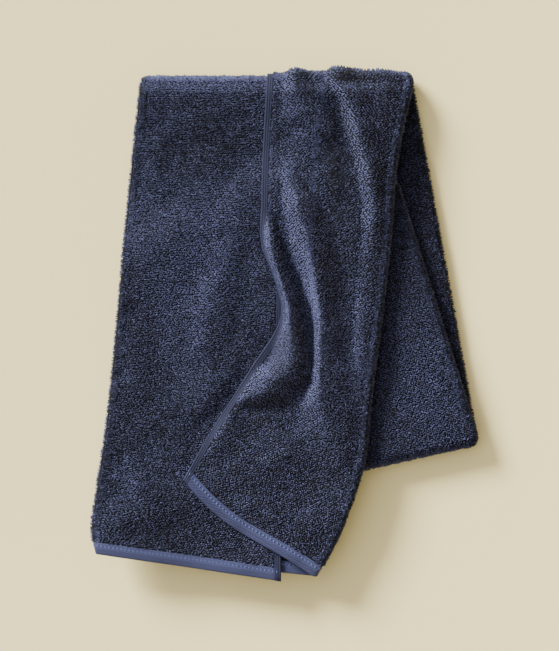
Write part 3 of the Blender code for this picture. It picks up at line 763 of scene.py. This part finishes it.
def rib_places(points, profile):
    """Places in metres of a band's points: along the edge, and in from it over its section."""
    run = run_along(points[:, 0])
    upper = np.array(profile)[:, 0]
    inward = np.concatenate([upper, upper[-2:0:-1]])
    return np.stack(np.broadcast_arrays(run[:, None], inward[None, :]), axis=-1).reshape(-1, 2)


def woven_cotton(name, dark, light):
    """Material of a flat woven band: fine slanting ribs of darker and lighter threads."""
    material, shader = cotton(name, dark, 0.8, 0.12, "#8F9AE0")
    spot = add_node(material, "ShaderNodeUVMap", {"uv_map": "ribs"})
    ribs = add_node(material, "ShaderNodeTexWave",
                    {"Scale": 2 * np.pi / 10 / RIB_PITCH, "Distortion": 2.5, "Detail": 2.0,
                     "Detail Scale": 1.5, "bands_direction": "DIAGONAL"}, [("Vector", spot, "UV")])
    threads = add_tones(material, shader, ribs, dark, light)
    add_relief(material, shader, ribs, 0.5, 0.0004)
    inward = add_node(material, "ShaderNodeSeparateXYZ", links=[("Vector", spot, "UV")])
    turned = add_node(material, "ShaderNodeMapRange",
                      {"From Min": TURNED_WIDTH - TURNED_BLEND, "From Max": TURNED_WIDTH + TURNED_BLEND,
                       "To Min": TURNED_SHADE, "To Max": 1.0}, [("Value", inward, "Y")])
    tone = add_node(material, "ShaderNodeVectorMath", {"operation": "SCALE"},
                    [("Vector", threads, "Color"), ("Scale", turned, "Result")])
    material.node_tree.links.new(tone.outputs["Vector"], shader.inputs["Base Color"])
    return material


def new_hem(name, edge, inward, profile, material):
    """Hem piece of a profile that runs along an edge of the cloth. Arguments as for its band."""
    points = band(edge, inward, profile)
    faces = tube_faces(*points.shape[:2], flip=(inward[0] < 0) == (inward[1] == 1))
    piece = new_piece(name, points.reshape(-1, 3), faces, material)
    add_map(piece, "ribs", rib_places(points, profile))
    return piece


# flat woven cotton tape: smoother than the pile, with a bluish light on its ribs
hem_cotton = woven_cotton("flat_woven_cotton_hem", "#25283C", "#3E4264")

edge_across = stations((20, 8, 24, 12, 40), (0.0, 0.0))
for name, at, sign in (("end_hem_front", 0.0, 1), ("end_hem_back", 5.0, -1)):
    edge = edge_across, np.full_like(edge_across, at)
    new_hem(name, edge, (sign, 1), END_HEM_PROFILE, hem_cotton)

# ---- stitches of the end hems ----
# One line of lock stitches in polyester thread holds each end hem, seen on both faces. Every stitch is a
# short fat grain of thread that sits in the groove it has pulled.
STITCH_PITCH = 0.0049
STITCH_IN = 0.0110         # distance in from the edge
STITCH_SIZE = (0.0035, 0.0022, 0.0014)
STITCH_SLANT = 50.0        # degrees that a stitch is turned from the edge
STITCH_HEIGHT = 0.00105    # of its middle off the middle of the cloth
STITCH_SIDES, STITCH_RINGS = 8, 3


def ball_mesh(sides, rings):
    """Points and triangles of a ball 2 long, in rings round its first axis. Its poles come last."""
    turns, slices = np.meshgrid(np.arange(sides) / sides * 2 * np.pi,
                                (np.arange(rings) + 1) / (rings + 1) * np.pi)
    points = np.stack([np.cos(slices), np.sin(slices) * np.cos(turns), np.sin(slices) * np.sin(turns)],
                      axis=-1)
    points = np.concatenate([points.reshape(-1, 3), [(1.0, 0.0, 0.0), (-1.0, 0.0, 0.0)]])
    quads = ring_faces(rings, sides)
    first = np.arange(sides)
    after = np.roll(first, -1)
    last = (rings - 1) * sides
    pole = np.full(sides, len(points) - 2)
    return points, np.concatenate([quads[:, :3], quads[:, [0, 2, 3]],
                                   np.stack([pole, after, first], axis=-1),
                                   np.stack([pole + 1, first + last, after + last], axis=-1)])


# lock-stitch thread: a little glossier and lighter than the cloth
thread, thread_shader = cotton("polyester_sewing_thread", "#3A3F60", 0.6, 0.1, "#8F9AE0")
add_tones(thread, thread_shader, fine_noise(thread, 0.0006, 1.0), "#30355A", "#4A5079")

ball, ball_faces = ball_mesh(STITCH_SIDES, STITCH_RINGS)
for name, at, sign in (("stitches_front", 0.0, 1), ("stitches_back", 5.0, -1)):
    fine_across = np.linspace(0.0, 5.0, 2000)
    step = np.linalg.norm(directions(fine_across, np.full_like(fine_across, at))[1], axis=-1)
    run = run_along(towel(fine_across, at + sign * STITCH_IN / step))
    distances = np.arange(STITCH_PITCH, run[-1] - STITCH_PITCH / 2, STITCH_PITCH)
    across = np.interp(distances, run, fine_across)
    along = at + sign * STITCH_IN / np.interp(across, fine_across, step)
    step_across, _, normal = directions(across, along)
    edgewise = unit_of(step_across)
    slant = np.radians(STITCH_SLANT)
    lengthwise = edgewise * np.cos(slant) + np.cross(normal, edgewise) * np.sin(slant)
    sideways = np.cross(normal, lengthwise)
    middle = towel(across, along)
    grains = [middle[:, None] + side * normal[:, None] * STITCH_HEIGHT
              + lengthwise[:, None] * ball[:, :1] * STITCH_SIZE[0] / 2
              + sideways[:, None] * ball[:, 1:2] * STITCH_SIZE[1] / 2
              + normal[:, None] * ball[:, 2:] * STITCH_SIZE[2] / 2 for side in (-1, 1)]
    points = np.concatenate(grains).reshape(-1, 3)
    faces = (np.arange(2 * len(across))[:, None, None] * len(ball) + ball_faces).reshape(-1, 3)
    new_piece(name, points, faces, thread)

# ---- side hems ----
# The long sides are bound in a narrower band of the same woven cotton, sewn down along two lines that
# sink into it.
SIDE_HEM_PROFILE = ((0.0, 0.0), (0.0002, 0.0008), (0.0008, 0.0014), (0.0016, 0.0016),
                    (0.0024, 0.00145), (0.0030, 0.0010), (0.0036, 0.00145), (0.0044, 0.0016),
                    (0.0052, 0.00145), (0.0058, 0.0010), (0.0064, 0.00145), (0.0072, 0.0015),
                    (0.0080, 0.0012), (0.0084, 0.0007), (0.0086, 0.0))

# the same woven cotton as the end hems, a darker copy of its colours: painted shade
shaded_binding_cotton = woven_cotton("shaded_woven_cotton_binding", "#161927", "#242740")

edge_along = stations((80, 14, 20, 12, 16), (0.0, 0.0))
for name, at, sign in (("side_hem_panel", 0.0, 1), ("side_hem_flap", 5.0, -1)):
    edge = np.full_like(edge_along, at), edge_along
    new_hem(name, edge, (sign, 0), SIDE_HEM_PROFILE, shaded_binding_cotton)

# ---- floor ----
# A wide floor in pale cream paint, level far past every camera, that rises gently at its rim.
# Columns: distance out from the towel, height.
FLOOR_RISE = ((4.6, 0.0), (5.3, 0.06), (6.2, 0.25), (7.2, 0.65), (8.2, 1.3), (9.0, 2.5))
FLOOR_SIDES = 64

# matt cream paint: plain, with hardly any gloss
floor_paint = new_material("matt_cream_paint", "#E7D89B", {"Roughness": 0.9, "Specular IOR Level": 0.1})[0]

profile = np.array(FLOOR_RISE)
turn = np.linspace(0, 2 * np.pi, FLOOR_SIDES, endpoint=False)
rings = np.stack([profile[:, :1] * np.cos(turn), profile[:, :1] * np.sin(turn),
                  np.broadcast_to(profile[:, 1:], (len(profile), FLOOR_SIDES))], axis=-1)
faces = [list(range(FLOOR_SIDES))] + ring_faces(len(profile), FLOOR_SIDES)[:, ::-1].tolist()
floor_mesh = bpy.data.meshes.new("floor")
floor_mesh.from_pydata(rings.reshape(-1, 3).tolist(), [], faces)
floor_mesh.shade_smooth()
floor_mesh.materials.append(floor_paint)
floor = add_object("floor", floor_mesh)

# ---- light ----
# One large soft source low on the upper left, and weak light from all round that is brighter on the
# side of the source, as in a studio with pale walls.
KEY_FROM = (-0.6725, 0.6725, 0.309)   # direction to the source
KEY_ANGLE = 26.0                      # its width in degrees
KEY_POWER = 21.0
FILL_POWER = 0.64
FILL_RANGE = (0.25, 3.0)              # darkest and brightest side of the room, as shares of that
FILL_FROM = (-0.85, 0.30, 0.43)       # direction to the middle of the brightest side

key_data = bpy.data.lights.new("key", "SUN")
key_data.energy = KEY_POWER
key_data.angle = np.radians(KEY_ANGLE)
key = add_object("key", key_data)
key.location = KEY_FROM
key_x, key_y, key_z = KEY_FROM
key.rotation_euler = (np.arctan2(np.hypot(key_x, key_y), key_z), 0.0, np.arctan2(key_x, -key_y))

world = bpy.data.worlds.new("studio")
world.use_nodes = True
background = world.node_tree.nodes["Background"]
background.inputs["Color"].default_value = linear("#F9F6FF")
around = add_node(world, "ShaderNodeTexCoord")
towards = add_node(world, "ShaderNodeVectorMath", {"operation": "DOT_PRODUCT"}, [(0, around, "Generated")])
towards.inputs[1].default_value = FILL_FROM
glow = add_node(world, "ShaderNodeMapRange",
                {"interpolation_type": "SMOOTHSTEP", "From Min": -0.2, "From Max": 1.0,
                 "To Min": FILL_RANGE[0] * FILL_POWER, "To Max": FILL_RANGE[1] * FILL_POWER},
                [("Value", towards, "Value")])
world.node_tree.links.new(glow.outputs["Result"], background.inputs["Strength"])
bpy.context.scene.world = world
